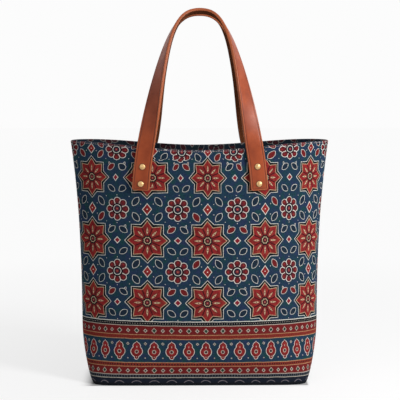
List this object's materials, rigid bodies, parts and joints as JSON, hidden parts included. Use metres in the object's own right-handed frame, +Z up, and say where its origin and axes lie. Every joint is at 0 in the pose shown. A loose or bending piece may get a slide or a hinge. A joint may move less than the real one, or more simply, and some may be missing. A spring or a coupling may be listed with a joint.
{
  "type": "tote bag",
  "caption": "Open-topped canvas tote bag with a traditional block print, a boxed base and riveted leather strap handles that turn flat for the hand.",
  "frame": {"origin": "on the floor at the centre of the base", "axes": "+X along the width, +Y from the front panel to the back panel, +Z up"},
  "size_m": [0.381, 0.1266, 0.5515],
  "materials": {
    "printed_canvas": "matt woven canvas with a navy, red and cream block print",
    "binding_tape": "matt twill tape",
    "leather": "smooth tan leather with creased and burnished edges",
    "brass": "aged polished brass"
  },
  "bodies": {
    "root": {"front_panel": "printed_canvas", "back_panel": "printed_canvas", "seam_binding": "binding_tape", "front_handle": "leather", "back_handle": "leather", "rivet_caps": "brass", "rivet_posts": "brass"}
  },
  "joints": []
}
